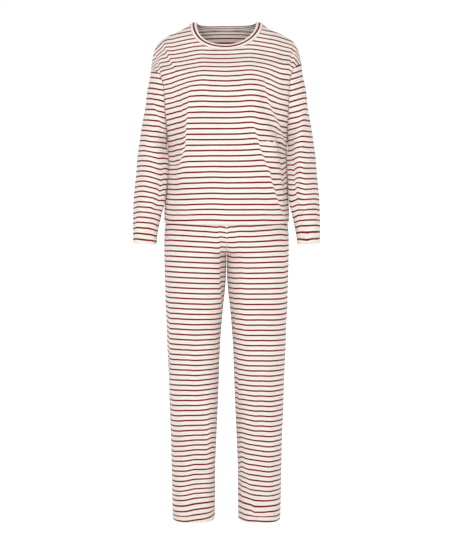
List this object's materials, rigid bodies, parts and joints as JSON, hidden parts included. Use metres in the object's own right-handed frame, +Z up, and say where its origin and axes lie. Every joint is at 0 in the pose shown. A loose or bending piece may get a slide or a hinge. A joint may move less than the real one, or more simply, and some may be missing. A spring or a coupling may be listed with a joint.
{
  "type": "pyjama set",
  "caption": "Boxy long-sleeved round-necked jersey top over straight-legged elastic-waisted trousers, in a narrow cross stripe, hollow and filled out as worn, with no wearer",
  "frame": {"origin": "Midway between the two points where the shoulder seams meet the neckband.", "axes": "+Z up the wearer's body, the front faces -Y, and +X is to the right as seen from the front, which is the wearer's left."},
  "size_m": [0.5416, 0.2481, 1.4485],
  "materials": {
    "striped_jersey": "soft matt cotton jersey, cream with a narrow dark red cross stripe every 15 mm",
    "neckband_jersey": "the same jersey folded double, its stripe running along the band"
  },
  "bodies": {
    "root": {"top_front": "striped_jersey", "top_back": "striped_jersey", "sleeve_left": "striped_jersey", "sleeve_right": "striped_jersey", "neckband": "neckband_jersey", "trouser_front_left": "striped_jersey", "trouser_front_right": "striped_jersey", "trouser_back_left": "striped_jersey", "trouser_back_right": "striped_jersey", "waistband": "neckband_jersey"}
  },
  "joints": []
}
